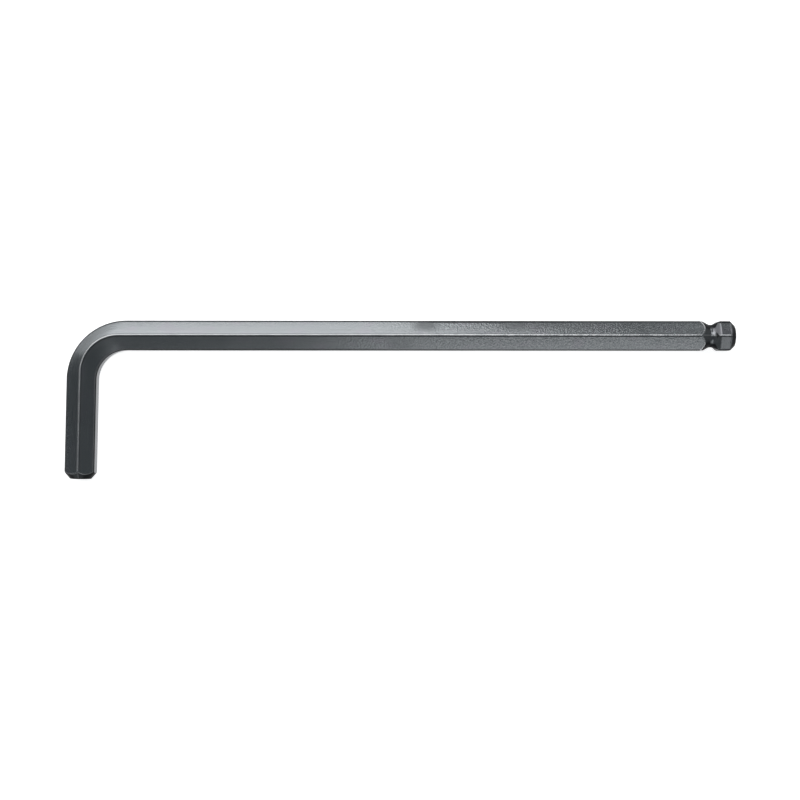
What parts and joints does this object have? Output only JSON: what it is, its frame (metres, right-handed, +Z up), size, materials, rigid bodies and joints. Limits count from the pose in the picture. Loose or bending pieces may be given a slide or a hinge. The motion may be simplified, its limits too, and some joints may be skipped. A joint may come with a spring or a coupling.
{
  "type": "hex key",
  "caption": "L-shaped key of hexagonal steel bar, with a ball end on its long arm and a chamfered end on its short arm, for turning hex socket screws.",
  "frame": {"origin": "centre of the key's box in plan, at the height of the surface that its lower edge lines lie on", "axes": "+X along the long arm towards the ball, -Y along the short arm, which leans outwards by 1.3 degrees, +Z up and square to both arms"},
  "size_m": [0.1808, 0.0426, 0.0091],
  "materials": {
    "dark_steel": "dark satin steel with a fine speckle and lighter edge lines"
  },
  "bodies": {
    "root": {"hex_key": "dark_steel"}
  },
  "joints": []
}
